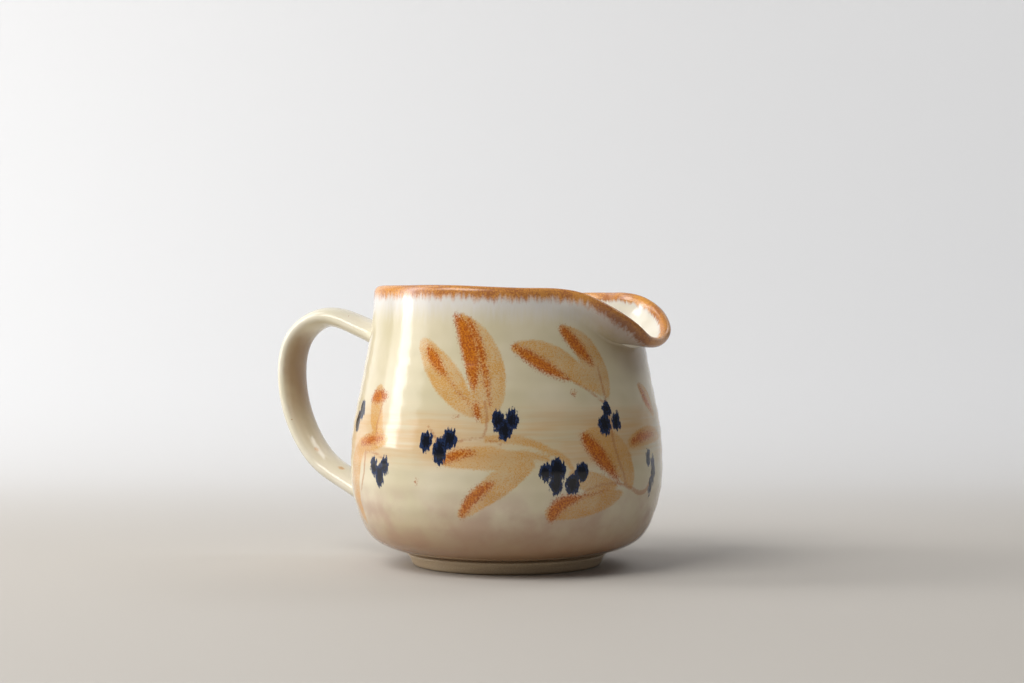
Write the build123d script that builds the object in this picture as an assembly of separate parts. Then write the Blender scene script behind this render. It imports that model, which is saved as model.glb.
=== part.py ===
from build123d import *
from math import atan2, degrees
import os

# Stoneware cream pitcher: thrown body, luted pouring spout, turned foot ring and strap handle.
# Millimetres. +Z is up, the origin is the centre of the plane the foot rests on,
# +X points along the spout and -X along the handle. The pitcher is symmetric about the XZ plane.

# body: one spline of (radius, height) from the foot seat to just under the lip
rim_height = 96.0
wall = 4.2
floor_thickness = 5.0
seat_radius = 35.0
seat_height = 4.9
heel_radius = 46.2
heel_height = 9.6
lower_belly_radius = 51.6
lower_belly_height = 19.5
belly_radius = 53.9
belly_height = 33.5
waist_radius = 50.9
waist_share = 0.57
neck_radius = 47.1
neck_drop = 16.0
lip_radius = 45.5
underside_slope = 0.1
neck_slope = -0.16
inner_heel_run = 9.0
neck_height = rim_height - neck_drop
waist_height = belly_height + waist_share * (neck_height - belly_height)
seam_azimuth = 90.0

# foot ring
foot_outer_radius = 32.7
foot_inner_radius = 27.5
foot_edge_radius = 0.9
foot_flare = 2.1
recess_depth = 3.4

# spout: a flat-bottomed scoop, its rim cut by a level cylinder across the pitcher
spout_reach = 57.6
spout_half_width = 25.0
spout_nose_length = 17.6
spout_depth = 20.6
spout_wall = 3.6
spout_lip_thickness = 2.0
spout_floor_fall = 2.6
spout_underside_fillet = 5.0
spout_floor_fillet = 4.0
spout_rim_arc_radius = 23.4
spout_underside = rim_height - spout_depth

# handle: an oval strap swept along a loop, whose points are a reach from the axis and a
# height, as a share of the way from the lower joint (0) to the upper joint (1)
strap_width = 16.5
strap_thickness = 7.0
upper_joint_drop = 19.0
lower_joint_height = 22.8
joint_sink = 6.0
loop_shoulder = (58.4, 1.103)
loop_crown = (71.0, 1.162)
loop_bend = (83.2, 1.037)
loop_reach = (86.8, 0.76)
loop_flank = (82.0, 0.419)
loop_turn = (71.5, 0.173)
loop_tail = (62.5, 0.083)
upper_joint_height = rim_height - upper_joint_drop

# slip worked round both ends of the handle
slip_build_up = 2.6
slip_feather = 0.4
slip_length = 7.0


def face_xz(*edges):
    """A face on the XZ plane from a closed run of edges given in (radius, height)."""
    return make_face(Plane.XZ * Curve(edges))


def full_turn(face):
    """A solid of revolution whose seam lies on +Y, clear of the spout and the handle."""
    return Rot(0, 0, seam_azimuth) * revolve(face, axis=Axis.Z, revolution_arc=360)


def wall_side(inset=0.0):
    """The wall from belly to lip, moved towards the axis by inset."""
    return Spline(
        (belly_radius - inset, belly_height),
        (waist_radius - inset, waist_height),
        (neck_radius - inset, neck_height),
        (lip_radius - inset, rim_height - wall / 2),
        tangents=[(0, 1), (neck_slope, 1)],
    )


def wall_heel():
    """The wall's outside from the foot seat round the heel to the belly."""
    return Spline(
        (seat_radius, seat_height),
        (heel_radius, heel_height),
        (lower_belly_radius, lower_belly_height),
        (belly_radius, belly_height),
        tangents=[(1, underside_slope), (0, 1)],
    )


def wall_inner_heel():
    """The cavity's corner, from the flat floor up to the belly."""
    return Spline(
        (heel_radius - inner_heel_run, seat_height + floor_thickness),
        (lower_belly_radius - wall, lower_belly_height + wall / 4),
        (belly_radius - wall, belly_height),
        tangents=[(1, 0), (0, 1)],
    )


def make_outer_form():
    """Everything inside the wall's outer surface: what the added pieces butt against."""
    side = wall_side()
    heel = wall_heel()
    lid_height = rim_height + 2 * wall
    closing = Polyline(side @ 1, (lip_radius, lid_height), (0, lid_height), (0, seat_height), heel @ 0)
    return full_turn(face_xz(heel, side, closing))


def make_rim_trim():
    """What is cut away above the rim: over the spout the rim follows the front of a level drum."""
    drum_centre = spout_reach - spout_rim_arc_radius
    drum_height = rim_height - spout_rim_arc_radius
    corner = (Align.MIN, Align.CENTER, Align.MIN)
    above = Box(2 * spout_reach, 4 * spout_half_width, 2 * spout_rim_arc_radius, align=corner)
    behind = Box(drum_centre, 5 * spout_half_width, spout_rim_arc_radius, align=corner)
    drum = Rot(90, 0, 0) * Cylinder(spout_rim_arc_radius, 5 * spout_half_width)
    trim = above - behind - Pos(drum_centre, 0, 0) * drum
    return Pos(0, 0, drum_height) * trim


def scoop_plan(reach, half_width, nose):
    """A plan outline: straight cheeks from inside the body and a half-ellipse nose."""
    start = lip_radius / 2
    shoulder = reach - nose
    nose_arc = EllipticalCenterArc((shoulder, 0), nose, half_width, start_angle=-90, arc_size=180)
    back = Polyline(
        (shoulder, half_width), (start, half_width), (start, -half_width), (shoulder, -half_width)
    )
    return make_face(Curve([nose_arc, back]))


def make_scoop_outside():
    plan = Pos(0, 0, spout_underside) * scoop_plan(spout_reach, spout_half_width, spout_nose_length)
    block = extrude(plan, spout_depth + wall)
    return round_bottom(block, spout_underside_fillet)


def make_channel():
    """The pouring channel, cut through both the body's wall and the scoop."""
    past_lip = spout_wall / 2
    plan = scoop_plan(spout_reach + past_lip, spout_half_width - spout_wall, spout_nose_length + past_lip)
    block = extrude(Pos(0, 0, spout_underside) * plan, spout_depth + wall)
    fall = degrees(atan2(spout_floor_fall, spout_reach - lip_radius))
    corner = (Align.CENTER, Align.CENTER, Align.MAX)
    under_floor = Box(4 * spout_reach, 4 * spout_half_width, spout_reach, align=corner)
    lip_floor = Pos(spout_reach, 0, spout_underside + spout_lip_thickness)
    return round_bottom(block - lip_floor * Rot(0, fall, 0) * under_floor, spout_floor_fillet)


def round_bottom(block, radius):
    """Rounds the edges of a block's lowest face, apart from the back one inside the body."""
    bottom = block.faces().sort_by(Axis.Z)[0]
    return fillet(bottom.edges().sort_by(Axis.X)[1:], radius)


def make_body(channel, rim_trim):
    """Wall, rounded lip and floor in one, with the throat cut for the spout."""
    outer = wall_side()
    inner = wall_side(wall)
    lip = ThreePointArc(outer @ 1, (lip_radius - wall / 2, rim_height), inner @ 1)
    heel = wall_heel()
    inner_heel = wall_inner_heel()
    base = Polyline(
        inner_heel @ 0,
        (0, seat_height + floor_thickness),
        (0, recess_depth),
        (foot_inner_radius, recess_depth),
        (foot_inner_radius, seat_height),
        heel @ 0,
    )
    shell = full_turn(face_xz(heel, outer, lip, inner, inner_heel, base))
    return shell - channel - rim_trim


def make_spout(outer_form, scoop, channel, rim_trim):
    return scoop - channel - rim_trim - outer_form


def make_foot_ring():
    edge = foot_edge_radius
    top_radius = foot_outer_radius + foot_flare
    outline = Polyline(
        (foot_inner_radius, 0),
        (foot_outer_radius, 0),
        (top_radius, seat_height),
        (foot_inner_radius, seat_height),
        close=True,
    )
    ring = full_turn(make_face(Plane.XZ * outline))
    resting = ring.faces().sort_by(Axis.Z)[0]
    return fillet(resting.edges(), edge)


def handle_loop():
    """The strap's centre line, from inside the wall at the top to inside it at the bottom."""
    span = upper_joint_height - lower_joint_height
    start = (-neck_radius + joint_sink, 0, upper_joint_height - joint_sink / 2)
    end = (-lower_belly_radius + joint_sink, 0, lower_joint_height - joint_sink / 2)
    bends = [loop_shoulder, loop_crown, loop_bend, loop_reach, loop_flank, loop_turn, loop_tail]
    points = [(-reach, 0, lower_joint_height + share * span) for reach, share in bends]
    return Spline(start, *points, end)


def strap_section(path, share, extra=0.0):
    """The oval section square to the path at a share of its length, grown by extra."""
    place = Plane(origin=path @ share, x_dir=(0, 1, 0), z_dir=path % share)
    return place * Ellipse(strap_width / 2 + extra, strap_thickness / 2 + extra)


def make_strap(path):
    return sweep(strap_section(path, 0.0), path=path)


def make_slip(path, wall_share, clear_share, strap, outer_form):
    """A collar that feathers from the wall out onto the strap."""
    collar = loft([
        strap_section(path, wall_share, slip_build_up),
        strap_section(path, clear_share, slip_feather),
    ])
    return collar - strap - outer_form


def only_solid(shape):
    """The largest solid of a shape, without slivers that a cut leaves inside the wall."""
    return shape.solids().sort_by(SortBy.VOLUME)[-1]


def main():
    outer_form = make_outer_form()
    channel = make_channel()
    rim_trim = make_rim_trim()
    path = handle_loop()
    strap = make_strap(path)
    sink_share = joint_sink / path.length
    slip_share = (joint_sink + slip_length) / path.length + sink_share
    pieces = {
        "body": make_body(channel, rim_trim),
        "spout": make_spout(outer_form, make_scoop_outside(), channel, rim_trim),
        "foot_ring": make_foot_ring(),
        "handle": only_solid(strap - outer_form),
        "handle_upper_slip": make_slip(path, sink_share, slip_share, strap, outer_form),
        "handle_lower_slip": make_slip(path, 1 - sink_share, 1 - slip_share, strap, outer_form),
    }
    os.makedirs("parts", exist_ok=True)
    for name, piece in pieces.items():
        solid = only_solid(piece)
        solid.label = name
        export_step(solid, f"parts/{name}.step")
        print(name, round(solid.volume, 1), len(piece.solids()))


main()
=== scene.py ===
"""Looks for the stoneware cream pitcher: glaze, painted sprigs, pulled spout, strap handle.

Profiles and paint are worked out in millimetres, and every mesh is written in metres in the
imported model's frame: +Z up, the spout along +X, the handle along -X, standing on z = 0.
Azimuths are degrees from the spout, and the decorated front lies at negative azimuths.
"""
import math

import bmesh
import bpy
import numpy as np
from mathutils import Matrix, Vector


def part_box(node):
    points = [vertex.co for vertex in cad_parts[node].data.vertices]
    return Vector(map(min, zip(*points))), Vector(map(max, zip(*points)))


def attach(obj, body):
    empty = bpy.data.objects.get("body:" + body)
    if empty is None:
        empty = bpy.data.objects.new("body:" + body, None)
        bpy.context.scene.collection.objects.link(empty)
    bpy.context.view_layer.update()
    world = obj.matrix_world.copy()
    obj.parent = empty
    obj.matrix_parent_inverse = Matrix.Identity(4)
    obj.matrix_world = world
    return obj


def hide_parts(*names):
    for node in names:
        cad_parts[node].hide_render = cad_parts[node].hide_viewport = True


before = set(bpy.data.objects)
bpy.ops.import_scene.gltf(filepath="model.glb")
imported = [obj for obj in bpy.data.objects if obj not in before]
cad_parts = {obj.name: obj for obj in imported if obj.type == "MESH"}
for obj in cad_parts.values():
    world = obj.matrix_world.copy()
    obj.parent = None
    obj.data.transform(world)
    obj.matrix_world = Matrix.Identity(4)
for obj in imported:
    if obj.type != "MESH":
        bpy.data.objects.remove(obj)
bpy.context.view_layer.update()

MM = 0.001
body_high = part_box("body")[1] / MM
foot_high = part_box("foot_ring")[1] / MM

# thrown wall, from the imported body's own size
RIM_HEIGHT = body_high.z
BELLY_RADIUS = body_high.y
WALL = 4.2
LIP_HALF = WALL / 2
CREST_RADIUS = BELLY_RADIUS - 10.5
SEAT_RADIUS = BELLY_RADIUS - 18.9
SEAT_HEIGHT = foot_high.z
RECESS = 3.4
RECESS_RADIUS = 27.0
FLOOR_TOP = SEAT_HEIGHT + 5.0
FLOOR_RADIUS = 30.0
# the rim droops towards the spout by twice its tilt, about a mean a little below the full height
RIM_SETTLE = 0.8
RIM_TILT = 1.1
# unevenness of the thrown rim: waves round it, height of each, and where each starts in radians
RIM_WAVES = ((3, 0.16, 0.7), (7, 0.1, 0.0))
# throwing marks up the wall: spacing, depth, and turns of each round the pitcher
THROWING_MARKS = ((6.5, 0.07, 1), (23, 0.1, 2))

UP = np.array([0.0, 0.0, 1.0])

# how finely the wall is divided
COLUMNS = 520
BASE_ROWS = 5
WALL_ROWS = 86
NECK_ROWS = 30
LIP_ROWS = 8
THROAT_ROWS = 18
INSIDE_ROWS = 24
FLOOR_ROWS = 4

# spout, against the blank's azimuth: crest of its lip as (along the spout, half width, height)
SPOUT_CREST = {
    0: (56.2, 0.0, 77.8),
    6: (55.8, 6.9, 78.7),
    12: (54.8, 13.3, 81.8),
    18: (51.6, 18.7, 85.6),
    24: (47.2, 23.1, 89.0),
    30: (41.8, 26.0, 91.9),
    37: (36.6, 27.9, 93.6),
}
SPOUT_END = 46
# height of the crease where the pulled lip leaves the wall, the lip's outward lean, and half
# its thickness
CREASE = {0: 75.7, 10: 76.0, 20: 77.4, 28: 80.4, 36: 83.4, 46: 85.0, 58: 85.2}
LEAN = {0: 0.8, 12: 0.62, 20: 0.3, 28: 0.05, 38: -0.13, 50: -0.14}
LIP_HALVES = {0: 1.4, 14: 1.7, 30: 2.05, 44: 2.1}
# the throat runs back into the wall this far below the crease
THROAT_DROP = 6.0
# azimuths at which the rim becomes a plain circle again
CIRCLE_KNOTS = (SPOUT_END, 54.0, 62.0)

# where the paint fields stop mattering, in millimetres from a mark's edge
FAR = 9.0


def natural_cubic(knots, values, where):
    """A natural cubic spline through values at knots, read at each place in where."""
    size = len(knots)
    step = np.diff(knots)
    matrix = np.eye(size)
    right = np.zeros((size, values.shape[1]))
    slope = np.diff(values, axis=0) / step[:, None]
    for i in range(1, size - 1):
        matrix[i, i - 1:i + 2] = step[i - 1], 2 * (step[i - 1] + step[i]), step[i]
        right[i] = 6 * (slope[i] - slope[i - 1])
    bend = np.linalg.solve(matrix, right)
    i = np.clip(np.searchsorted(knots, where) - 1, 0, size - 2)
    before = (where - knots[i])[:, None]
    after = (knots[i + 1] - where)[:, None]
    width = step[i][:, None]
    curved = (bend[i] * after ** 3 + bend[i + 1] * before ** 3) / (6 * width)
    straight = (values[i] / width - bend[i] * width / 6) * after
    straight += (values[i + 1] / width - bend[i + 1] * width / 6) * before
    return curved + straight


def smooth_run(points, count):
    """count points, evenly spaced, on one smooth curve through given points."""
    points = np.array(points, float)
    chord = np.concatenate([[0.0], np.cumsum(np.linalg.norm(np.diff(points, axis=0), axis=1))])
    fine = np.linspace(0, chord[-1], 60 * len(points))
    dense = natural_cubic(chord, points, fine)
    run = np.concatenate([[0.0], np.cumsum(np.linalg.norm(np.diff(dense, axis=0), axis=1))])
    even = np.linspace(0, run[-1], count)
    return np.stack([np.interp(even, run, dense[:, axis]) for axis in range(points.shape[1])], axis=1)


def round_spout(table, angle):
    """A table of one side of the spout, read smoothly on both sides and level past its end."""
    knots = sorted({side * key for key in table for side in (-1, 1)})
    values = np.array([[table[abs(knot)]] for knot in knots], float)
    return natural_cubic(np.array(knots, float), values, np.clip(angle, knots[0], knots[-1]))[:, 0]


def soft_step(value, low, high):
    """0 below low, 1 above high, smooth between."""
    share = np.clip((value - low) / (high - low), 0, 1)
    return share * share * (3 - 2 * share)


def unit(vectors):
    """The same directions, each one long."""
    return vectors / np.linalg.norm(vectors, axis=-1, keepdims=True)


def bezier(start, leave, arrive, end, rows):
    """rows points a column on the cubic from start to end."""
    t = np.linspace(0, 1, rows)[:, None, None]
    back = 1 - t
    return back ** 3 * start + 3 * t * back ** 2 * leave + 3 * t * t * back * arrive + t ** 3 * end


class Wall:
    """One face of the thrown wall, read by height or by run along it."""

    def __init__(self, points):
        self.line = smooth_run(points, 600)
        steps = np.linalg.norm(np.diff(self.line, axis=0), axis=1)
        self.run = np.concatenate([[0.0], np.cumsum(steps)])

    def run_at(self, height):
        """How far up the wall's line a height lies."""
        order = np.argsort(self.line[:, 1])
        return np.interp(height, self.line[order, 1], self.run[order])

    def at(self, run, azimuth):
        """Points at a run along the wall, turned to each column's azimuth in radians."""
        radius = np.interp(run, self.run, self.line[:, 0])
        height = np.interp(run, self.run, self.line[:, 1])
        return np.stack([radius * np.cos(azimuth), radius * np.sin(azimuth), height], axis=-1)


def outer_wall():
    """From the seat on the foot ring, round the belly, to the rim."""
    belly = BELLY_RADIUS
    return Wall([
        (SEAT_RADIUS, SEAT_HEIGHT),
        (belly - 7.7, 9.6),
        (belly - 2.3, 19.5),
        (belly, 33.5),
        (belly - 3.0, 60.0),
        (belly - 6.8, RIM_HEIGHT - 16),
        (belly - 8.4, RIM_HEIGHT - LIP_HALF),
    ])


def inner_wall():
    """From the edge of the floor to the rim, one wall thickness inside the outer face."""
    inside = BELLY_RADIUS - WALL
    return Wall([
        (FLOOR_RADIUS, FLOOR_TOP),
        (inside - 10.5, FLOOR_TOP + 1.3),
        (inside - 2.3, 20.5),
        (inside, 33.5),
        (inside - 3.0, 60.0),
        (inside - 6.8, RIM_HEIGHT - 16),
        (inside - 8.4, RIM_HEIGHT - LIP_HALF),
    ])


def lip_crest(degrees_round):
    """The crest of the lip all the way round: a slightly tilted circle, pulled out at the spout."""
    def circle(angle):
        turn = np.radians(angle)
        height = RIM_HEIGHT - RIM_SETTLE - RIM_TILT * np.cos(turn)
        return np.stack([CREST_RADIUS * np.cos(turn), CREST_RADIUS * np.sin(turn), height], axis=-1)

    knots = [-knot for knot in reversed(CIRCLE_KNOTS)]
    rows = [circle(knot) for knot in knots]
    for angle in sorted(list(SPOUT_CREST) + [-key for key in SPOUT_CREST if key]):
        along, half_width, height = SPOUT_CREST[abs(angle)]
        knots.append(float(angle))
        rows.append((along, math.copysign(half_width, angle), height))
    for knot in CIRCLE_KNOTS:
        knots.append(knot)
        rows.append(circle(knot))
    crest = circle(degrees_round)
    near = np.abs(degrees_round) < knots[-1]
    crest[near] = natural_cubic(np.array(knots), np.array(rows), degrees_round[near])
    away = soft_step(np.abs(degrees_round), 30, 60)
    for waves, depth, start in RIM_WAVES:
        crest[:, 2] += depth * np.sin(np.radians(waves * degrees_round) + start) * away
    return crest


def lip_edges(angle, crest, crease_point, radial):
    """The lip's middle, which way it stands and which way it faces, and half its thickness.

    It leans out along the spout and slightly in elsewhere.
    """
    lean = round_spout(LEAN, angle)
    half = round_spout(LIP_HALVES, angle)[:, None]
    outward = (crest - crease_point) * (1, 1, 0)
    reach = np.linalg.norm(outward, axis=1, keepdims=True)
    blend = np.clip(reach / 6, 0, 1) * (1 - soft_step(np.abs(angle), 20, 31))[:, None]
    outward = unit(radial * (1 - blend) + outward / np.maximum(reach, 0.01) * blend)
    lift = np.sqrt(1 - lean ** 2)[:, None]
    along = outward * lean[:, None] + UP * lift
    across = outward * lift - UP * lean[:, None]
    return crest - along * half, along, across, half


def base_rows(radial):
    """The underside: the recess in the foot, then out to the seat."""
    seat = [RECESS_RADIUS + 1.5, SEAT_RADIUS - 1.0]
    radius = np.concatenate([np.linspace(0, RECESS_RADIUS, BASE_ROWS - 1)[1:], seat])
    height = np.concatenate([np.full(BASE_ROWS - 2, RECESS), [SEAT_HEIGHT - 0.3, SEAT_HEIGHT - 0.1]])
    return radial[None] * radius[:, None, None] + UP * height[:, None, None]


def floor_rows(radial):
    radius = np.linspace(FLOOR_RADIUS, 0, FLOOR_ROWS + 2)[1:-1]
    return radial[None] * radius[:, None, None] + UP * FLOOR_TOP


def neck_rows(angle, outer, crease_run, outer_edge, along, radial):
    """From the crease to the lip outside: pulled out at the spout, following the wall elsewhere."""
    turn = np.radians(angle)
    crease_point = outer.at(crease_run, turn)
    share = np.linspace(0, 1, NECK_ROWS)[:, None]
    followed = outer.at(crease_run + share * (outer.run[-1] - crease_run), turn)
    followed = followed + share[..., None] * (outer_edge - followed[-1])
    pull = 1 - soft_step(np.abs(angle), 16, 38)[:, None]
    chord = np.linalg.norm(outer_edge - crease_point, axis=1, keepdims=True)
    wall_up = unit(outer.at(crease_run + 1, turn) - crease_point)
    leave = crease_point + 0.4 * chord * unit(radial * pull + wall_up * (1 - pull))
    arrive = outer_edge - 0.4 * chord * along
    pulled = bezier(crease_point, leave, arrive, outer_edge, NECK_ROWS)
    return joined(angle, pulled, followed)


def throat_rows(angle, inner, throat_run, inner_edge, along):
    """From the lip down the inside, to a little below the crease."""
    turn = np.radians(angle)
    throat_point = inner.at(throat_run, turn)
    share = np.linspace(0, 1, THROAT_ROWS)[:, None]
    followed = inner.at(inner.run[-1] + share * (throat_run - inner.run[-1]), turn)
    followed = followed + (1 - share[..., None]) * (inner_edge - followed[0])
    chord = np.linalg.norm(inner_edge - throat_point, axis=1, keepdims=True)
    leave = inner_edge - 0.5 * chord * along
    arrive = throat_point + 0.45 * chord * UP
    pulled = bezier(inner_edge, leave, arrive, throat_point, THROAT_ROWS)
    return joined(angle, pulled, followed)


def joined(angle, pulled, followed):
    """The pulled rows at the spout, the wall's own rows elsewhere."""
    follow = soft_step(np.abs(angle), 38, 52)[:, None]
    return pulled * (1 - follow) + followed * follow


def vessel_rows():
    """The wall as rows of points from the middle of the underside to the middle of the floor."""
    angle = np.linspace(-180, 180, COLUMNS, endpoint=False)
    turn = np.radians(angle)
    radial = np.stack([np.cos(turn), np.sin(turn), np.zeros_like(turn)], axis=1)
    outer = outer_wall()
    inner = inner_wall()
    crease = round_spout(CREASE, angle)
    crease_run = outer.run_at(crease)
    crest = lip_crest(angle)
    middle, along, across, half = lip_edges(angle, crest, outer.at(crease_run, turn), radial)

    base = base_rows(radial)
    lower = outer.at(np.linspace(0, 1, WALL_ROWS)[:, None] * crease_run, turn)
    neck = neck_rows(angle, outer, crease_run, middle + across * half, along, radial)
    swing = np.linspace(0, math.pi, LIP_ROWS + 2)[1:-1, None, None]
    lip = middle + half * (across * np.cos(swing) + along * np.sin(swing))
    throat_run = inner.run_at(crease - THROAT_DROP)
    throat = throat_rows(angle, inner, throat_run, middle - across * half, along)
    inside = inner.at(np.linspace(1, 0, INSIDE_ROWS + 1)[1:, None] * throat_run, turn)

    rows = np.concatenate([base, lower, neck[1:], lip, throat, inside, floor_rows(radial)])
    first_wall = len(base)
    first_lip = first_wall + WALL_ROWS + NECK_ROWS - 1
    throwing_rings(rows, first_wall, first_lip, turn)
    return rows, first_wall, first_lip, angle


def throwing_rings(rows, first, last, turn):
    """The faint spiral that fingers leave on a thrown wall."""
    wall = rows[first:last]
    height = wall[..., 2]
    marks = sum(
        depth * np.sin(2 * math.pi * height / spacing + turns * turn)
        for spacing, depth, turns in THROWING_MARKS
    )
    fade = soft_step(height, 8, 20) * (1 - soft_step(height, RIM_HEIGHT - 24, RIM_HEIGHT - 12))
    swell = 1 + marks * fade / BELLY_RADIUS
    wall[..., 0] *= swell
    wall[..., 1] *= swell


# paint: every mark is its start, middle and end as (azimuth, height), with its half width in
# millimetres at each
LEAF_WASHES = [
    ((-73, 52), (-73, 68), (-83, 85), (1.4, 6.8, 1.6)),
    ((-77, 54), (-87.5, 64.5), (-99, 76), (1.2, 5.4, 2.4)),
    ((-28, 60), (-46, 71), (-62, 75), (0.8, 4.6, 1.6)),
    ((-25, 59), (-30, 71), (-42, 81), (0.6, 4.6, 1.8)),
    ((-60, 38), (-72, 40), (-86, 39), (1.2, 3.9, 2.0)),
    ((-57, 38), (-68, 31.5), (-81, 22), (1.6, 4.3, 1.6)),
    ((-16, 30), (-24, 41), (-36, 47), (1.6, 5.6, 1.6)),
    ((-21, 27.5), (-33, 25), (-49, 22), (1.2, 4.0, 2.4)),
    ((-24, 30), (-33, 31.5), (-42, 34), (1.2, 3.6, 1.6)),
    ((5, 53), (1, 58), (-4, 62), (1.4, 3.4, 1.4)),
    ((9, 45), (-3, 46), (-15, 44), (1.2, 3.4, 2.0)),
    ((-116, 46), (-121, 53), (-121, 60), (1.8, 4.0, 3.0)),
    ((-113, 45), (-121, 44), (-131, 43), (1.6, 3.4, 1.8)),
    ((-127, 43), (-137, 32), (-134, 17), (1.6, 5.2, 1.4)),
    ((-72, 46), (-60, 45.5), (-50, 42), (1.2, 1.5, 1.2)),
    ((-50, 42), (-45.5, 40), (-42, 36), (1.2, 1.1, 0.9)),
    ((-76, 37), (-63, 41), (-51, 39.5), (1.0, 1.5, 1.0)),
]
LEAF_STROKES = [
    ((-86, 85.5), (-80, 76), (-77, 62), (1.4, 3.9, 1.4)),
    ((-80.5, 84), (-75, 74), (-71, 57), (1.6, 2.2, 1.1)),
    ((-97, 75), (-93.5, 71), (-88, 66), (1.6, 2.7, 1.2)),
    ((-90, 67.5), (-84, 62), (-77, 56), (1.0, 0.9, 0.9)),
    ((-76, 57), (-75.5, 54.5), (-75, 52.5), (1.5, 1.9, 1.4)),
    ((-62, 75.5), (-52.5, 70), (-42, 65), (1.5, 3.0, 1.3)),
    ((-42.5, 81), (-36.5, 75.5), (-30, 69.5), (2.0, 2.9, 1.2)),
    ((-86.5, 39), (-82, 41), (-76, 41.5), (1.7, 2.3, 1.2)),
    ((-81, 21.5), (-76, 28), (-69.5, 32), (1.6, 2.7, 1.3)),
    ((-37.5, 47), (-31.5, 40.5), (-22, 31), (1.6, 3.5, 1.0)),
    ((-49, 20.5), (-46, 25), (-39, 27), (2.0, 3.2, 1.6)),
    ((-40, 27.3), (-34, 28), (-27, 29.5), (1.3, 1.1, 0.7)),
    ((-3.5, 61.5), (0, 57), (4, 54), (1.5, 2.2, 1.0)),
    ((-14.5, 44), (-8, 45.5), (2, 46), (1.6, 2.4, 1.2)),
    ((-125, 58.5), (-121, 59), (-116.5, 59), (2.2, 3.0, 2.0)),
    ((-129, 43.5), (-122, 44.5), (-115, 45.5), (1.6, 2.4, 1.4)),
    ((-98, 32.5), (-98, 32), (-98, 31.5), (0.8, 1.0, 0.7)),
    ((-40.5, 61), (-40, 60.5), (-40, 60), (1.0, 1.4, 0.8)),
    ((-83.5, 53), (-83, 53), (-82.5, 53), (0.8, 0.9, 0.8)),
    ((-35, 46.5), (-35, 46), (-35, 45.5), (0.6, 0.8, 0.6)),
    ((-17, 41), (-17, 40.5), (-17, 40), (0.6, 0.8, 0.6)),
]
STEMS = [
    ((-73, 58), (-72, 52), (-73, 47), (0.4, 0.45, 0.3)),
    ((-89, 42), (-78, 46), (-67, 44.5), (0.3, 0.4, 0.4)),
    ((-94, 50), (-91, 47), (-89, 43), (0.3, 0.4, 0.3)),
    ((-37, 29), (-25, 31), (-12, 27.5), (0.4, 0.5, 0.8)),
    ((-12, 27.5), (-5, 28), (-1.5, 34), (0.8, 0.7, 0.4)),
    ((-28, 69), (-26.5, 60), (-25, 48), (0.35, 0.5, 0.5)),
    ((-25, 48), (-23, 40), (-18, 30), (0.5, 0.45, 0.5)),
    ((-42, 65), (-35, 62), (-27, 57), (0.3, 0.45, 0.4)),
    ((-126, 40.5), (-120, 40.5), (-114.5, 39), (0.5, 0.45, 0.4)),
    ((-126, 40.5), (-127, 34), (-131, 27), (0.5, 0.5, 0.4)),
    ((-117, 58), (-119, 50), (-118, 45), (0.4, 0.4, 0.4)),
]
# berries: azimuth, height, half width, half height
BERRIES = [
    (-68, 52, 2.1, 3.7), (-63.3, 52.3, 2.2, 3.4), (-65.7, 48.8, 2.3, 3.6),
    (-94, 45, 2.3, 3.3), (-85, 46, 2.4, 3.5), (-88.5, 42, 2.4, 4.8),
    (-51.7, 35.3, 2.1, 3.2), (-47.6, 36, 2.9, 4.0), (-48, 31.3, 2.3, 3.2),
    (-38.5, 35.2, 2.6, 3.3), (-42, 31.3, 2.6, 3.3),
    (-26.5, 55, 1.9, 2.7), (-22.5, 51, 2.1, 3.3), (-28, 50.3, 2.5, 3.6),
    (-4, 38.5, 1.6, 2.9), (0, 34, 1.8, 4.8), (-2, 29, 1.5, 3.2),
    (-119.5, 36, 2.1, 3.3), (-116, 33, 2.3, 3.9), (-113, 36.5, 2.1, 3.2),
    (-134, 54, 2.6, 3.4), (-137, 50, 2.6, 3.6),
]
# the far side carries the same sprigs turned over, moved a little as a hand would
FAR_SIDE_FROM = -20
FAR_SIDE_TURN = 5.0
FAR_SIDE_LIFT = 1.5
# millimetres to a degree where the sprigs are painted
PAINT_RADIUS = 52
AZIMUTH_SCALE = math.radians(1) * PAINT_RADIUS
# stations along a brush mark
BRUSH_STEPS = 26


def with_far_side(marks, first_azimuth, turn_over):
    """The marks as painted on the front, and again on the far side."""
    return marks + [turn_over(mark) for mark in marks if first_azimuth(mark) < FAR_SIDE_FROM]


def turned_stroke(mark):
    points = [(FAR_SIDE_TURN - azimuth, height - FAR_SIDE_LIFT) for azimuth, height in mark[:3]]
    return (*points, mark[3])


def turned_berry(mark):
    return (FAR_SIDE_TURN - mark[0], mark[1] - FAR_SIDE_LIFT, *mark[2:])


def brush_field(azimuth, height, marks):
    """Distance in millimetres from the nearest brush mark's edge, negative inside it."""
    field = np.full(azimuth.shape, FAR)
    for start, middle, end, widths in with_far_side(marks, lambda mark: mark[0][0], turned_stroke):
        bend = [2 * middle[axis] - (start[axis] + end[axis]) / 2 for axis in (0, 1)]
        for t in np.linspace(0, 1, BRUSH_STEPS):
            weights = (1 - t) ** 2, 2 * t * (1 - t), t * t
            at_azimuth, at_height = (
                weights[0] * start[axis] + weights[1] * bend[axis] + weights[2] * end[axis]
                for axis in (0, 1)
            )
            half = widths[0] * (1 - t) + widths[2] * t
            half += (widths[1] - (widths[0] + widths[2]) / 2) * math.sin(math.pi * t) ** 0.8
            away = np.hypot((azimuth - at_azimuth) * AZIMUTH_SCALE, height - at_height)
            field = np.minimum(field, away - half)
    return field


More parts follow.
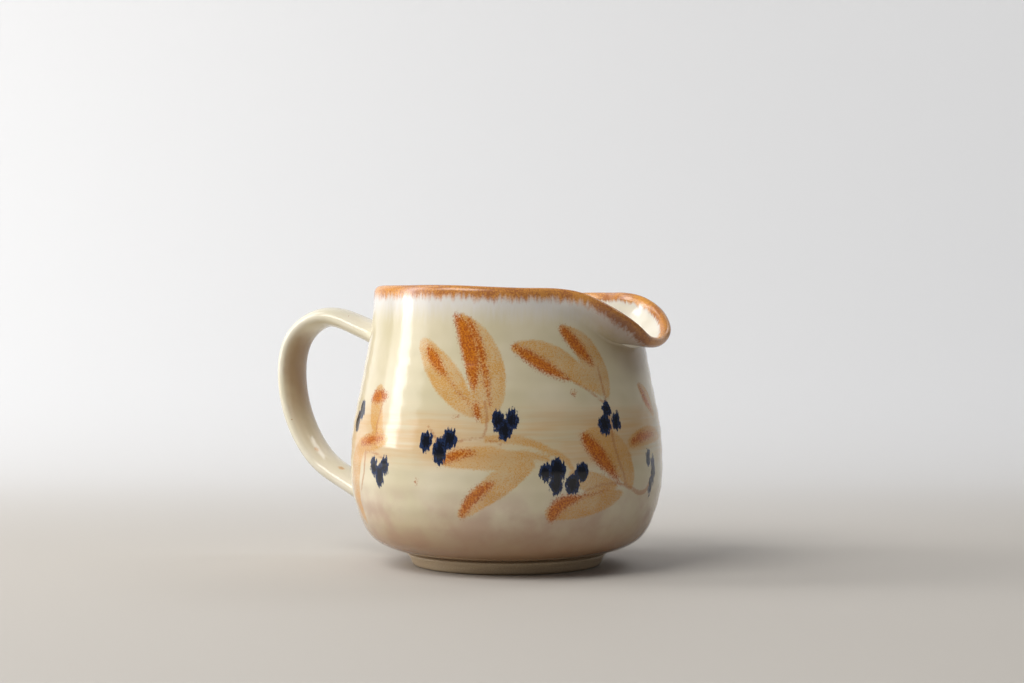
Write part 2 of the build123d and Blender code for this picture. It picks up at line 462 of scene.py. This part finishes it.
def berry_field(azimuth, height):
    """Distance in millimetres from the nearest berry's edge, negative inside it."""
    field = np.full(azimuth.shape, FAR)
    berries = with_far_side(BERRIES, lambda mark: mark[0], turned_berry)
    for at_azimuth, at_height, half_width, half_height in berries:
        across = (azimuth - at_azimuth) * AZIMUTH_SCALE / half_width
        upward = (height - at_height) / half_height
        field = np.minimum(field, (np.hypot(across, upward) - 1) * half_width)
    return field


def grid_mesh(name, rows):
    """A closed mesh over rows of columns, with a point at each end."""
    count, columns, _ = rows.shape
    index = np.arange(count * columns).reshape(count, columns)
    right = np.roll(index, -1, axis=1)
    quads = np.stack([index[:-1], right[:-1], right[1:], index[1:]], axis=-1).reshape(-1, 4)
    under = count * columns
    over = under + 1
    ends = [(under, int(b), int(a)) for a, b in zip(index[0], right[0])]
    ends += [(int(a), int(b), over) for a, b in zip(index[-1], right[-1])]
    poles = [(0.0, 0.0, rows[0, 0, 2]), (0.0, 0.0, rows[-1, 0, 2])]
    points = np.concatenate([rows.reshape(-1, 3), poles]) * MM
    mesh = bpy.data.meshes.new(name)
    mesh.from_pydata(points.tolist(), [], quads.tolist() + ends)
    mesh.polygons.foreach_set("use_smooth", [True] * len(mesh.polygons))
    return mesh


def bake_map(mesh, rows, first_lip):
    """Lays the outside out in two wide bands and the inside in a third."""
    count, columns, _ = rows.shape
    row = np.repeat(np.arange(count), columns)
    column = np.tile(np.arange(columns), count)
    row = np.append(row, [0, count - 1])
    corners = np.zeros(len(mesh.loops), int)
    mesh.loops.foreach_get("vertex_index", corners)
    starts = np.zeros(len(mesh.polygons), int)
    totals = np.zeros(len(mesh.polygons), int)
    mesh.polygons.foreach_get("loop_start", starts)
    mesh.polygons.foreach_get("loop_total", totals)
    face = np.repeat(np.arange(len(starts)), totals)
    quad_count = (count - 1) * columns
    first_column = np.where(face < quad_count, face % columns, (face - quad_count) % columns)
    own = np.append(column, [0, 0])[corners]
    is_pole = corners >= count * columns
    across = np.where(is_pole, first_column + 0.5, first_column + (own != first_column))
    band = first_column >= columns // 2
    along = (across - band * (columns // 2)) / (columns // 2)
    share = row[corners] / (count - 1)
    edge = first_lip / (count - 1)
    inside = (face // columns >= first_lip) & (face < quad_count)
    inside |= face >= quad_count + columns
    outer_up = np.clip(share / edge, 0, 1) * 0.32 + 0.34 * band
    inner_up = 0.69 + 0.30 * (share - edge) / (1 - edge)
    up = np.where(inside, inner_up, outer_up)
    wide = np.where(inside, across / columns, along)
    layer = mesh.uv_layers.new(name="OFBake")
    layer.data.foreach_set("uv", np.stack([0.005 + 0.99 * wide, up], axis=1).ravel())


def make_vessel():
    """Body and pulled spout as one thrown shell, with the painted sprigs as fields on it."""
    rows, first_wall, first_lip, angle = vessel_rows()
    mesh = grid_mesh("thrown_vessel", rows)
    bake_map(mesh, rows, first_lip)
    steps = np.linalg.norm(np.diff(rows, axis=0), axis=2)
    run = np.concatenate([np.zeros((1, rows.shape[1])), np.cumsum(steps, axis=0)])
    crest_row = first_lip + LIP_ROWS // 2
    azimuth = np.broadcast_to(angle, rows.shape[:2])
    height = rows[..., 2]
    outside = np.zeros(rows.shape[:2], bool)
    outside[first_wall:first_lip] = True
    fields = {"from_rim": run[crest_row] - run}
    for name, marks in (("leaf_wash", LEAF_WASHES), ("leaf_stroke", LEAF_STROKES), ("stem", STEMS)):
        fields[name] = np.where(outside, brush_field(azimuth, height, marks), FAR)
    fields["berry"] = np.where(outside, berry_field(azimuth, height), FAR)
    for name, field in fields.items():
        attribute = mesh.attributes.new(name, "FLOAT", "POINT")
        pole_values = [FAR if name != "from_rim" else 99.0] * 2
        attribute.data.foreach_set("value", np.append(field.ravel(), pole_values).astype(np.float32))
    vessel = bpy.data.objects.new("thrown_vessel", mesh)
    bpy.context.collection.objects.link(vessel)
    return vessel


class Signal:
    """A node's output that takes part in arithmetic: each operator adds its Math node."""

    def __init__(self, graph, socket):
        self.graph = graph
        self.socket = socket

    def math(self, operation, first, second):
        return self.graph.node("ShaderNodeMath", {"operation": operation}, {0: first, 1: second})

    def __add__(self, other):
        return self.math("ADD", self, other)

    __radd__ = __add__

    def __mul__(self, other):
        return self.math("MULTIPLY", self, other)

    __rmul__ = __mul__

    def __sub__(self, other):
        return self.math("SUBTRACT", self, other)

    def __rsub__(self, other):
        return self.math("SUBTRACT", other, self)

    def __truediv__(self, other):
        return self.math("DIVIDE", self, other)

    def __rpow__(self, other):
        return self.math("POWER", other, self)


class Graph:
    """A node tree being written: node() adds any node, settings first and then its sockets."""

    def __init__(self, tree):
        self.tree = tree

    def node(self, kind, settings=None, sockets=None, output=0):
        made = self.tree.nodes.new(kind)
        for name, value in (settings or {}).items():
            setattr(made, name, value)
        for name, value in (sockets or {}).items():
            if isinstance(value, Signal):
                self.tree.links.new(value.socket, made.inputs[name])
            else:
                made.inputs[name].default_value = value
        return Signal(self, made.outputs[output]) if len(made.outputs) else made


class Finish(Graph):
    """One glaze or clay finish, with the few helpers that finishes share."""

    def __init__(self, name):
        self.material = bpy.data.materials.new(name)
        self.material.use_nodes = True
        super().__init__(self.material.node_tree)
        self.tree.nodes.clear()
        self.place = self.scaled(self.node("ShaderNodeTexCoord", output="Object"), 1 / MM)

    def scaled(self, vector, factor):
        sockets = {0: vector, "Scale": factor}
        return self.node("ShaderNodeVectorMath", {"operation": "SCALE"}, sockets)

    def stretched(self, factors):
        """Millimetres, squeezed along each axis; a pattern runs out along a squeezed one."""
        sockets = {0: self.place, 1: factors}
        return self.node("ShaderNodeVectorMath", {"operation": "MULTIPLY"}, sockets)

    def along_spout(self):
        return self.node("ShaderNodeSeparateXYZ", sockets={0: self.place}, output=0)

    def height(self):
        return self.node("ShaderNodeSeparateXYZ", sockets={0: self.place}, output=2)

    def attribute(self, name):
        return self.node("ShaderNodeAttribute", {"attribute_name": name}, output=2)

    def noise(self, across, detail=2.0, place=None):
        """Soft noise from 0 to 1 whose blotches are about across millimetres wide."""
        sockets = {"Vector": place or self.place, "Scale": 1 / across, "Detail": detail}
        return self.node("ShaderNodeTexNoise", sockets=sockets)

    def rise(self, value, low, high):
        """0 at low, 1 at high, smooth between; low may be above high."""
        sockets = {"Value": value, "From Min": low, "From Max": high}
        return self.node("ShaderNodeMapRange", {"interpolation_type": "SMOOTHSTEP"}, sockets)

    def mix(self, share, first, second):
        """From the first colour to the second by share."""
        sockets = {0: share, 6: colour(first), 7: colour(second)}
        return self.node("ShaderNodeMix", {"data_type": "RGBA"}, sockets, output=2)

    def bump(self, height, distance, strength=1.0, normal=None):
        """Relief of the given depth in millimetres, over any relief already there."""
        sockets = {"Height": height, "Distance": distance * MM, "Strength": strength}
        if normal:
            sockets["Normal"] = normal
        return self.node("ShaderNodeBump", sockets=sockets)

    def close(self, sockets):
        """Ends the finish in one shader with these sockets."""
        shader = self.node("ShaderNodeBsdfPrincipled", sockets=sockets)
        self.node("ShaderNodeOutputMaterial", sockets={"Surface": shader})
        return self.material


def colour(value):
    """A colour for a socket, from another node or from three numbers."""
    return value if isinstance(value, Signal) else (*value, 1.0)


# fired colours, linear
CREAM = (0.60, 0.535, 0.36), (0.68, 0.61, 0.45)
BRUSHED_TAN = (0.60, 0.37, 0.16)
# the next two are the glaze's own colours with painted shade and painted warm bounce mixed in
BLUSH_AND_PAINTED_BOUNCE = (0.51, 0.365, 0.285)
FOOT_BROWN_AND_PAINTED_SHADE = (0.34, 0.18, 0.085)
MILKY = (0.70, 0.68, 0.68)
INSIDE_WHITE = (0.78, 0.73, 0.60)
LEAF_TAN = (0.58, 0.28, 0.045)
STEM_BROWN = (0.42, 0.17, 0.06)
LEAF_RUST = (0.34, 0.062, 0.001), (0.58, 0.18, 0.004)
BERRY_BLUE = (0.014, 0.030, 0.090)
BERRY_BLACK = (0.003, 0.004, 0.009)
IRON = (0.36, 0.10, 0.004), (0.68, 0.28, 0.02)
# the iron band and the glaze under the spout's lip, darkened as painted shade
SPOUT_IRON_IN_PAINTED_SHADE = (0.19, 0.045, 0.004)
SPOUT_PAINTED_SHADE = (0.26, 0.14, 0.07)
HANDLE_CREAM = (0.70, 0.65, 0.50), (0.74, 0.69, 0.57)
# painted shade and painted warm bounce on the handle's inner face
HANDLE_PAINTED_SHADE = (0.31, 0.20, 0.115)
HANDLE_SPECK = (0.40, 0.20, 0.08)
IRON_SPOT = (0.55, 0.28, 0.07)
CLAY = (0.50, 0.38, 0.24), (0.62, 0.50, 0.34)
TURNED_CLAY = (0.42, 0.29, 0.17)
GLAZE_IOR = 1.52


def fired_ground(glaze, from_rim, patch, streak):
    """Cream, with a brushed tan band, a blush low down and a brown foot that are partly painted shade
    and bounce, a milky shoulder and a whiter inside.
    """
    height = glaze.height()
    cloud = glaze.noise(26.0, 3.0)
    brushed = glaze.noise(1.3, 3.0, glaze.stretched((0.05, 0.05, 1.0)))
    ground = glaze.mix(glaze.rise(cloud, 0.35, 0.65), *CREAM)
    band = glaze.rise(height, 34.0, 41.0) * glaze.rise(height, 60.0, 50.0)
    tan = band * glaze.rise(brushed * 0.5 + cloud, 0.45, 1.0)
    ground = glaze.mix(tan * 0.85, ground, BRUSHED_TAN)
    # partly painted bounce: pinker and browner low on the belly, the glaze's own blush with painted warm
    # bounce light over it
    low = glaze.rise(height, 34.0, 20.0) * glaze.rise(patch, 0.3, 0.7)
    ground = glaze.mix(low * 0.75, ground, BLUSH_AND_PAINTED_BOUNCE)
    # partly painted shade: darker and browner towards the foot, the glaze's own brown over the clay with
    # painted shade over it
    foot_brown_and_painted_shade = glaze.rise(height, 27.0, 5.0)
    ground = glaze.mix(foot_brown_and_painted_shade * 0.9, ground, FOOT_BROWN_AND_PAINTED_SHADE)
    milky = glaze.rise(from_rim + streak * 5, 18.0, 7.5) * glaze.rise(from_rim, -30.0, -2.0)
    ground = glaze.mix(milky * 0.85, ground, MILKY)
    inside = glaze.rise(from_rim, -2.0, -6.0)
    return glaze.mix(inside * 0.8, ground, INSIDE_WHITE)


def leaf_paint(glaze, ground, patch, grain, fine):
    """Pale washes, narrow stems, then granular rust strokes; gives the strokes' share as well."""
    mottle = glaze.noise(0.4, 3.0)
    wash_edge = glaze.attribute("leaf_wash") + (grain - 0.5) * 1.4 + (patch - 0.5) * 1.4
    thickness = 0.42 + glaze.rise(mottle + patch * 0.5, 0.6, 0.95) * 0.5
    washed = glaze.rise(wash_edge, 0.25, -0.75) * thickness
    ground = glaze.mix(washed, ground, LEAF_TAN)
    stem = glaze.rise(glaze.attribute("stem") + (grain - 0.5) * 0.9, 0.35, -0.25)
    ground = glaze.mix(stem * 0.6, ground, STEM_BROWN)
    stroke_edge = glaze.attribute("leaf_stroke") + (grain - 0.5) * 3.6 + (fine - 0.5) * 1.8
    stroke = glaze.rise(stroke_edge, 0.2, -2.0)
    rust = glaze.mix(glaze.rise(grain, 0.35, 0.65), *LEAF_RUST)
    return glaze.mix(stroke * 0.95, ground, rust), stroke


def berry_paint(glaze, ground, grain, fine):
    """Ragged berries that drip downwards, blue at the edge and near black where thick."""
    drip = glaze.noise(0.7, 2.0, glaze.stretched((1.0, 1.0, 0.35)))
    berry_edge = glaze.attribute("berry") + (drip - 0.5) * 2.8 + (fine - 0.5) * 0.6
    berry = glaze.rise(berry_edge, 0.15, -0.2)
    depth = glaze.rise(berry_edge + (grain - 0.5) * 2.4, 0.0, -1.4)
    return glaze.mix(berry, ground, glaze.mix(depth, BERRY_BLUE, BERRY_BLACK)), berry


def iron_rim(glaze, ground, from_rim, patch, grain, streak):
    """Iron brown over the lip with a ragged lower edge; painted shade darkens the iron band and the
    glaze beneath the spout.
    """
    ragged = (streak - 0.5) * 5.0 + (patch - 0.5) * 2.0 + (grain - 0.5) * 1.0
    spoutward = glaze.rise(glaze.along_spout(), 34.0, 54.0)
    outside = glaze.rise(from_rim + ragged - spoutward * 0.4, 7.4, 4.0)
    inside = glaze.rise(from_rim - ragged * 0.6, -4.2, -2.6)
    rim = outside * inside
    iron = glaze.mix(glaze.rise(patch * 0.5 + grain * 0.5, 0.35, 0.62), *IRON)
    # painted shade: the iron band is darker on the downward face of the spout's lip
    under = spoutward * glaze.rise(from_rim, 1.0, 5.0)
    iron = glaze.mix(under * 0.8, iron, SPOUT_IRON_IN_PAINTED_SHADE)
    # painted shade: the glaze under the spout's lip is browned and darkened
    painted_spout_shade = spoutward * glaze.rise(from_rim, 3.0, 8.0) * glaze.rise(from_rim, 26.0, 14.0)
    ground = glaze.mix(painted_spout_shade * 0.6, ground, SPOUT_PAINTED_SHADE)
    return glaze.mix(rim * 0.93, ground, iron), rim


def painted_glaze():
    """The glaze of the body and spout: fired ground, painted sprigs and iron rim."""
    glaze = Finish("painted_glaze")
    from_rim = glaze.attribute("from_rim")
    patch = glaze.noise(9.0, 3.0)
    grain = glaze.noise(0.55, 2.0)
    fine = glaze.noise(0.25, 1.0)
    streak = glaze.noise(1.1, 3.0, glaze.stretched((1.0, 1.0, 0.14)))
    surface = fired_ground(glaze, from_rim, patch, streak)
    surface, stroke = leaf_paint(glaze, surface, patch, grain, fine)
    surface, berry = berry_paint(glaze, surface, grain, fine)
    surface, rim = iron_rim(glaze, surface, from_rim, patch, grain, streak)
    normal = glaze.bump(glaze.noise(3.2, 1.0), 0.06, 0.6)
    normal = glaze.bump(fine + grain, 0.012, 0.4, normal)
    normal = glaze.bump(stroke * 0.5 + berry * 0.8 + rim * 0.4, 0.05, 0.5, normal)
    return glaze.close({
        "Base Color": surface,
        "Roughness": 0.09 + 0.05 * grain + 0.08 * rim + 0.03 * stroke,
        "Normal": normal,
        "IOR": GLAZE_IOR,
    })


def cream_glaze():
    """Plain cream glaze on the handle, with painted shade and painted warm bounce browning the upper
    face towards the body, and iron spots.
    """
    glaze = Finish("cream_glaze")
    cloud = glaze.noise(14.0, 3.0)
    grain = glaze.noise(0.6, 2.0)
    ground = glaze.mix(glaze.rise(cloud, 0.35, 0.65), *HANDLE_CREAM)
    # painted shade: the face towards the body is browned higher up, as shade and warm bounce light
    facing = glaze.node("ShaderNodeTexCoord", output="Normal")
    towards_body = glaze.node("ShaderNodeSeparateXYZ", sockets={0: facing})
    painted_inner_shade = glaze.rise(towards_body + (cloud - 0.5) * 0.6, 0.35, 1.0)
    painted_inner_shade = painted_inner_shade * glaze.rise(glaze.height(), 30.0, 62.0)
    ground = glaze.mix(painted_inner_shade * 0.9, ground, HANDLE_PAINTED_SHADE)
    speck = glaze.rise(glaze.noise(1.4, 1.0), 0.76, 0.8)
    ground = glaze.mix(speck * 0.7, ground, HANDLE_SPECK)
    for spot in HANDLE_SPOTS:
        sockets = {0: glaze.place, 1: spot}
        away = glaze.node("ShaderNodeVectorMath", {"operation": "DISTANCE"}, sockets, "Value")
        ground = glaze.mix(glaze.rise(away + grain * 1.2, 2.2, 1.2) * 0.75, ground, IRON_SPOT)
    normal = glaze.bump(glaze.noise(4.0, 1.0), 0.08, 0.6)
    return glaze.close({
        "Base Color": ground,
        "Roughness": 0.1 + 0.05 * grain,
        "Normal": normal,
        "IOR": GLAZE_IOR,
    })


def bare_foot():
    """Turned foot: satin beige clay with a fine grain."""
    clay = Finish("bare_foot")
    grain = clay.noise(0.35, 3.0)
    turned = clay.noise(0.9, 2.0, clay.stretched((0.06, 0.06, 1.0)))
    ground = clay.mix(clay.rise(grain, 0.3, 0.7), *CLAY)
    ground = clay.mix(clay.rise(turned, 0.4, 0.7) * 0.3, ground, TURNED_CLAY)
    normal = clay.bump(grain, 0.04, 0.5)
    normal = clay.bump(turned, 0.08, 0.4, normal)
    return clay.close({"Base Color": ground, "Roughness": 0.34 + 0.2 * grain, "Normal": normal})


# handle: centre line as (distance from the axis, height), from inside the wall to inside the wall
HANDLE_LOOP = [
    (46, 77.6), (50, 79.3), (58.4, 82.6), (71, 85.8), (83.2, 79), (86.8, 64),
    (82, 45.5), (71.5, 32.2), (62.5, 27), (55, 23.4), (50, 21.6),
]
# iron spots fired into the strap's glaze
HANDLE_SPOTS = [(-73.0, -5.0, 38.5), (-64.0, -3.5, 31.5)]
STRAP_WIDTH = 16.5
STRAP_THICKNESS = 7.0
# how much wider the strap is at each end, and how soon that dies away along it
STRAP_FLARE = 0.28
FLARE_RUN = 0.05
FLARE_DECAY = 2.718


def curve_through(name, points, closed=False):
    """A curve object through points given in metres, straight from one to the next."""
    curve = bpy.data.curves.new(name, "CURVE")
    curve.dimensions = "3D"
    spline = curve.splines.new("POLY")
    spline.points.add(len(points) - 1)
    spline.points.foreach_set("co", [value for point in points for value in (*point, 1.0)])
    spline.use_cyclic_u = closed
    piece = bpy.data.objects.new(name, curve)
    bpy.context.collection.objects.link(piece)
    return piece


def open_tree(name, inputs):
    """A Geometry Nodes tree with a geometry input and named sizes, and its inputs as signals."""
    tree = bpy.data.node_groups.new(name, "GeometryNodeTree")
    tree.interface.new_socket("Geometry", in_out="INPUT", socket_type="NodeSocketGeometry")
    for label in inputs:
        kind = "NodeSocketMaterial" if label == "Finish" else "NodeSocketFloat"
        tree.interface.new_socket(label, in_out="INPUT", socket_type=kind)
    tree.interface.new_socket("Geometry", in_out="OUTPUT", socket_type="NodeSocketGeometry")
    graph = Graph(tree)
    entry = tree.nodes.new("NodeGroupInput")
    return graph, {socket.name: Signal(graph, socket) for socket in entry.outputs if socket.name}


def end_tree(graph, mesh, finish):
    """Smooth, real and coated, as every tree ends."""
    smooth = graph.node("GeometryNodeSetShadeSmooth", sockets={"Geometry": mesh})
    real = graph.node("GeometryNodeRealizeInstances", sockets={"Geometry": smooth})
    coated = graph.node("GeometryNodeSetMaterial", sockets={"Geometry": real, "Material": finish})
    graph.node("NodeGroupOutput", sockets={"Geometry": coated})
    return graph.tree


def strap_tree():
    """Sweeps an oval along the loop, wider where the strap was pressed onto the wall."""
    graph, given = open_tree("strap", ["Width", "Thickness", "Flare", "Flare Run", "Finish"])
    path = graph.node("GeometryNodeResampleCurve", sockets={"Curve": given["Geometry"], "Count": 150})
    sideways = {"Curve": path, "Normal": (0.0, 1.0, 0.0)}
    path = graph.node("GeometryNodeSetCurveNormal", {"mode": "FREE"}, sideways)
    oval = graph.node("GeometryNodeCurvePrimitiveCircle", sockets={"Resolution": 56, "Radius": 0.5})
    size = graph.node("ShaderNodeCombineXYZ", sockets={0: given["Width"], 1: given["Thickness"], 2: 1.0})
    oval = graph.node("GeometryNodeTransform", sockets={"Geometry": oval, "Scale": size})
    share = graph.node("GeometryNodeSplineParameter")
    upper = FLARE_DECAY ** (0 - share / given["Flare Run"])
    lower = FLARE_DECAY ** ((share - 1) / given["Flare Run"])
    growth = 1 + given["Flare"] * (upper + lower)
    sockets = {"Curve": path, "Profile Curve": oval, "Scale": growth, "Fill Caps": True}
    return end_tree(graph, graph.node("GeometryNodeCurveToMesh", sockets=sockets), given["Finish"])


def ring_tree():
    """Turns a closed section round the axis."""
    graph, given = open_tree("turned_ring", ["Radius", "Finish"])
    sockets = {"Resolution": 320, "Radius": given["Radius"]}
    circle = graph.node("GeometryNodeCurvePrimitiveCircle", sockets=sockets)
    circle = graph.node("GeometryNodeSetCurveNormal", {"mode": "Z_UP"}, {"Curve": circle})
    sockets = {"Curve": circle, "Profile Curve": given["Geometry"], "Fill Caps": False}
    return end_tree(graph, graph.node("GeometryNodeCurveToMesh", sockets=sockets), given["Finish"])


def grown(source, tree, values, name):
    """Runs a tree on a source object and keeps the result as a plain mesh."""
    modifier = source.modifiers.new(name, "NODES")
    modifier.node_group = tree
    for item in tree.interface.items_tree:
        if item.in_out == "INPUT" and item.name in values:
            modifier[item.identifier] = values[item.name]
    source.update_tag()
    bpy.context.view_layer.update()
    evaluated = source.evaluated_get(bpy.context.evaluated_depsgraph_get())
    mesh = bpy.data.meshes.new_from_object(evaluated)
    bpy.data.objects.remove(source)
    mesh.name = name
    work = bmesh.new()
    work.from_mesh(mesh)
    bmesh.ops.remove_doubles(work, verts=work.verts, dist=1e-6)
    bmesh.ops.recalc_face_normals(work, faces=work.faces)
    work.to_mesh(mesh)
    work.free()
    piece = bpy.data.objects.new(name, mesh)
    bpy.context.collection.objects.link(piece)
    return piece


def make_handle(finish):
    """The strap, from inside the wall round the loop and back into the wall."""
    loop = smooth_run(HANDLE_LOOP, 120)
    path = curve_through("handle_path", [(-reach * MM, 0.0, height * MM) for reach, height in loop])
    values = {
        "Width": STRAP_WIDTH * MM,
        "Thickness": STRAP_THICKNESS * MM,
        "Flare": STRAP_FLARE,
        "Flare Run": FLARE_RUN,
        "Finish": finish,
    }
    return grown(path, strap_tree(), values, "pulled_handle")


def make_foot_ring(finish):
    """The ring's section, with a turned hollow on its outside and eased edges."""
    outer = foot_high.y
    inner = RECESS_RADIUS + 0.5
    middle = (outer + inner) / 2
    top = foot_high.z - 0.25
    section = [
        (inner, top), (inner, 1.4), (inner + 0.5, 0.5), (inner + 1.4, 0.0), (outer - 3.6, 0.0),
        (outer - 2.5, 0.35), (outer - 2.0, 1.1), (outer - 1.6, 2.2), (outer - 1.0, 3.2),
        (outer - 0.3, 3.8), (outer - 0.4, 4.2), (outer - 1.2, 4.4), (outer - 1.5, top),
    ]
    points = [((radius - middle) * MM, -height * MM, 0.0) for radius, height in section]
    source = curve_through("foot_section", points, closed=True)
    return grown(source, ring_tree(), {"Radius": middle * MM, "Finish": finish}, "turned_foot_ring")


# camera and studio, in metres and degrees about the pitcher's axis
CAMERA_DISTANCE = 0.6315
CAMERA_HEIGHT = 0.0782
CAMERA_TURN = 25.0
CAMERA_TILT = 89.89
CAMERA_TRIM = 0.164
LENS = 64.0

# pale sheet: in front it runs this far, then behind it curves up to the top
SHEET_FRONT = -9.0
SWEEP_START = 0.35
SWEEP_RADIUS = 0.7
SWEEP_STEPS = 24
SWEEP_TOP = 1.9
SWEEP_HALF_WIDTH = 4.0
STAGE_TONE = (0.72, 0.72, 0.725)
FLOOR_TONE = (0.50, 0.47, 0.43)

WARM_WHITE = (1.0, 0.985, 0.96)
PLAIN_WHITE = (1.0, 1.0, 1.0)
COOL_WHITE = (0.98, 0.99, 1.0)
PITCHER_MIDDLE = (0.0, 0.0, 0.05)
ROOM_TONE = (0.95, 0.96, 1.0, 1.0)
ROOM_STRENGTH = 0.16


def round_about(distance, azimuth, height=0.0):
    """A place in metres at a distance and azimuth from the pitcher's axis."""
    turn = math.radians(azimuth)
    return Vector((distance * math.cos(turn), distance * math.sin(turn), height))


def place_camera():
    """A little above the middle of the pitcher, level, with the spout to the right."""
    data = bpy.data.cameras.new("camera")
    data.lens = LENS
    data.sensor_width = 36.0
    data.clip_start = 0.01
    camera = bpy.data.objects.new("camera", data)
    camera.location = round_about(CAMERA_DISTANCE, CAMERA_TURN - 90, CAMERA_HEIGHT)
    camera.rotation_euler = (math.radians(CAMERA_TILT), 0.0, math.radians(CAMERA_TURN - CAMERA_TRIM))
    bpy.context.collection.objects.link(camera)
    bpy.context.scene.camera = camera


def soft_light(name, distance, azimuth, height, width, tall, power, tint, aim):
    """A rectangular light at a place round the pitcher, in metres and watts, aimed at a point."""
    data = bpy.data.lights.new(name, "AREA")
    data.shape = "RECTANGLE"
    data.size = width
    data.size_y = tall
    data.energy = power
    data.color = tint
    light = bpy.data.objects.new(name, data)
    light.location = round_about(distance, azimuth, height)
    light.rotation_euler = (Vector(aim) - light.location).to_track_quat("-Z", "Y").to_euler()
    bpy.context.collection.objects.link(light)


def stage_finish():
    """Matt paper, a little darker and warmer where it lies than where it stands."""
    paper = Finish("pale_paper")
    behind = tuple(round_about(1.0, CAMERA_TURN + 90))
    sockets = {0: paper.place, 1: behind}
    back = paper.node("ShaderNodeVectorMath", {"operation": "DOT_PRODUCT"}, sockets, "Value")
    ground = paper.mix(paper.rise(back, 20.0, 620.0), FLOOR_TONE, STAGE_TONE)
    return paper.close({"Base Color": ground, "Roughness": 0.75})


def make_stage():
    """A pale sheet that lies under the pitcher and sweeps up behind it."""
    behind = round_about(1.0, CAMERA_TURN + 90)
    beside = round_about(1.0, CAMERA_TURN)
    profile = [(SHEET_FRONT, 0.0)]
    for step in range(SWEEP_STEPS + 1):
        swing = math.radians(90 * step / SWEEP_STEPS)
        back = SWEEP_START + SWEEP_RADIUS * math.sin(swing)
        profile.append((back, SWEEP_RADIUS * (1 - math.cos(swing))))
    profile.append((SWEEP_START + SWEEP_RADIUS, SWEEP_TOP))
    points = []
    for back, height in profile:
        for side in (-SWEEP_HALF_WIDTH, SWEEP_HALF_WIDTH):
            points.append(behind * back + beside * side + Vector((0, 0, height)))
    faces = [(i, i + 1, i + 3, i + 2) for i in range(0, len(points) - 2, 2)]
    mesh = bpy.data.meshes.new("studio_sweep")
    mesh.from_pydata(points, [], faces)
    mesh.polygons.foreach_set("use_smooth", [True] * len(mesh.polygons))
    mesh.materials.append(stage_finish())
    sweep = bpy.data.objects.new("studio_sweep", mesh)
    bpy.context.collection.objects.link(sweep)


def light_studio():
    """A tall window on the left with a bright core, light from above, and two lights on the paper."""
    paper = round_about(1.0, CAMERA_TURN + 90, 0.25)
    soft_light("window", 1.2, -155, 0.53, 0.95, 1.0, 6.6, WARM_WHITE, PITCHER_MIDDLE)
    soft_light("window_core", 1.15, -157, 0.5, 0.26, 0.86, 4.6, PLAIN_WHITE, PITCHER_MIDDLE)
    soft_light("ceiling", 1.1, -112, 1.2, 0.9, 0.9, 17.0, WARM_WHITE, PITCHER_MIDDLE)
    soft_light("paper_wash", 1.0, 178, 1.2, 0.6, 0.6, 3.8, COOL_WHITE, paper)
    soft_light("paper_fill", 1.0, 62, 1.2, 0.6, 0.6, 4.0, COOL_WHITE, paper)
    world = bpy.data.worlds.new("room")
    world.use_nodes = True
    room = world.node_tree.nodes["Background"]
    room.inputs["Color"].default_value = ROOM_TONE
    room.inputs["Strength"].default_value = ROOM_STRENGTH
    bpy.context.scene.world = world
    bpy.context.scene.view_settings.view_transform = "Standard"


def main():
    """Studio first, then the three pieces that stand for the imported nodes."""
    place_camera()
    light_studio()
    make_stage()
    vessel = make_vessel()
    vessel.data.materials.append(painted_glaze())
    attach(vessel, "root")
    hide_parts("body", "spout")
    handle = make_handle(cream_glaze())
    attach(handle, "root")
    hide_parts("handle", "handle_upper_slip", "handle_lower_slip")
    foot = make_foot_ring(bare_foot())
    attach(foot, "root")
    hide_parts("foot_ring")


main()
